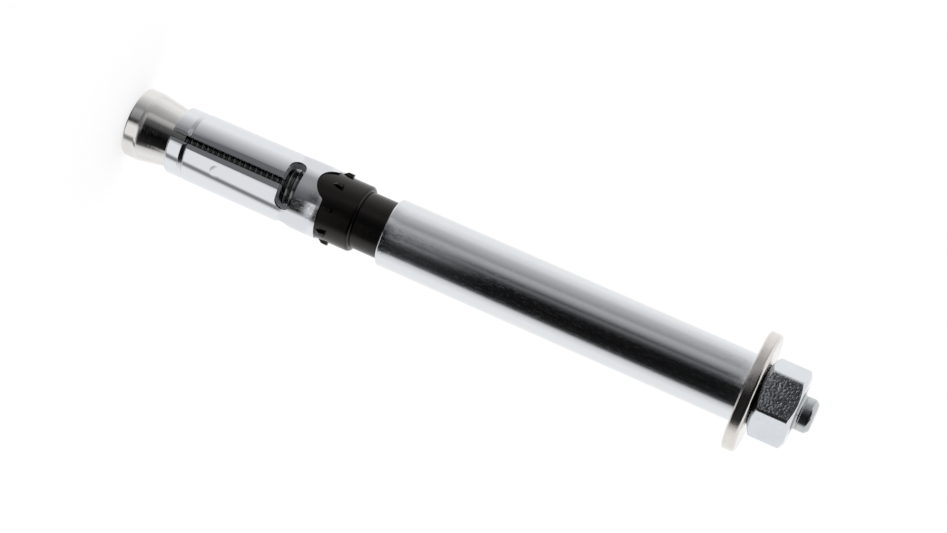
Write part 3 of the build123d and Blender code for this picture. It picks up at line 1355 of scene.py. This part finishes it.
def add_tent():
    """The light tent with its head, the cloths that hang inside it, and a dark cloth below."""
    tent_glow = bearing_glow(
        "tent cloth",
        TENT_LEVELS,
        middle=0.055,
        fan=0.6,
        pivot=-75.0,
        foot_levels=TENT_FOOT_LEVELS,
        fade_span=(-0.035, 0.02),
    )
    hang_cloth("light_tent", TENT_RADIUS, TENT_FOOT, TENT_SHOULDER, tent_glow)
    head_glow = bearing_glow("tent head cloth", TENT_HEAD_LEVELS)
    hang_cloth("tent_head", TENT_RADIUS, TENT_SHOULDER, TENT_TOP, head_glow)
    add_inner_cloths()

    root_glow = bearing_glow(
        "root cloth", ROOT_LIGHT_LEVELS, foot_levels=ROOT_LEVELS, fade_span=(-0.098, -0.093)
    )
    root_cloth = hang_cloth("root_cloth", CLOTH_RADIUS, FINGER_CLOTH_TOP, ROOT_CLOTH_TOP, root_glow)
    root_cloth.visible_diffuse = False

    hub = 0.01
    below = new_circle("dark_cloth", hub, TENT_FOOT, CLOTH_STEPS)
    pull_rings([(hub, TENT_FOOT), (TENT_RADIUS, TENT_FOOT)])
    bpy.ops.object.mode_set(mode="OBJECT")
    stage_cloth(below, bearing_glow("dark cloth", DARK_CLOTH_LEVELS))
    below.visible_diffuse = False


def add_world():
    """A surround that is seen white, and lights the anchor a little less."""
    world = bpy.data.worlds.new("studio")
    bpy.context.scene.world = world
    world.use_nodes = True
    nodes, links = tree_of(world)
    background = nodes["Background"]
    background.inputs["Color"].default_value = (1, 1, 1, 1)
    path = nodes.new("ShaderNodeLightPath")
    seen = seen_directly(nodes, links, path)
    level = nodes.new("ShaderNodeMapRange")
    level.inputs["To Min"].default_value = SURROUND_LEVEL
    level.inputs["To Max"].default_value = 1.0
    links.new(seen, level.inputs["Value"])
    links.new(level.outputs[0], background.inputs["Strength"])


PLATING = make_plating_group()
# The rod's zinc is darker than the other pieces' zinc: this is painted shade for the rod that lies
# inside the sleeves.
rod_zinc = zinc(
    "rod zinc",
    light=(0.56, 0.58, 0.58),
    dark=(0.46, 0.49, 0.50),
    grain=1800.0,
    bump=0.001,
    gloss=(0.14, 0.22),
)
# Painted shade: the thread's grooves are darkened, and the crests and the point keep the plating
# colour.
paint_thread_shade(rod_zinc, colour=(0.17, 0.18, 0.17), end=240.8 * MM)
cone_zinc = zinc(
    "cone zinc",
    light=(0.80, 0.78, 0.75),
    dark=(0.76, 0.75, 0.74),
    grain=1500.0,
    bump=0.002,
    gloss=(0.05, 0.14),
    drawn=(0.3, 0.3, 1),
    pits=(0.03, -2.0),
)
finger_zinc = zinc(
    "finger zinc",
    light=(0.77, 0.79, 0.81),
    dark=(0.73, 0.75, 0.79),
    grain=1500.0,
    bump=0.0004,
    gloss=(0.02, 0.06),
    drawn=(1, 1, 0.5),
    pits=(0.06, -10.0),
)
# A real dent in the finger, with painted shade in a crescent on one side of its rim.
add_dent(
    finger_zinc,
    middle=(5.2 * MM, -10.8 * MM, 35.1 * MM),
    radius=2.2 * MM,
    depth=0.03 * MM,
    shade_side=(-0.55, -0.28, -0.79),
    share=0.4,
)
roughen_cuts(finger_zinc, skin=11.3 * MM, rough=0.5, metallic=0.1)
# Painted shade: a dark line in the groove between the collar and the fingers.
paint_groove_shade(finger_zinc, height=22.7 * MM, width=0.3 * MM, share=0.3)
tube_zinc = zinc(
    "tube zinc",
    light=(0.77, 0.79, 0.80),
    dark=(0.73, 0.75, 0.78),
    grain=1900.0,
    bump=0.0014,
    gloss=(0.03, 0.20),
    drawn=(1, 1, 0.25),
    pits=(0.05, -3.0),
)
washer_zinc = zinc(
    "washer zinc",
    light=(0.80, 0.77, 0.74),
    dark=(0.66, 0.62, 0.59),
    grain=1800.0,
    bump=0.03,
    gloss=(0.06, 0.14),
)
nut_zinc = zinc(
    "nut zinc",
    light=(0.74, 0.77, 0.80),
    dark=(0.62, 0.65, 0.69),
    grain=1200.0,
    bump=0.035,
    gloss=(0.05, 0.12),
    detail=0.5,
)
plastic = black_plastic("black plastic")

make_threaded_rod(rod_zinc)
make_cone(cone_zinc)
make_expansion_sleeve(finger_zinc)
make_crush_sleeve(plastic)
make_distance_sleeve(tube_zinc)
make_washer(washer_zinc)
make_nut(nut_zinc)

add_world()
add_floor()
add_tent()
add_camera()
bpy.context.scene.view_settings.view_transform = "Standard"
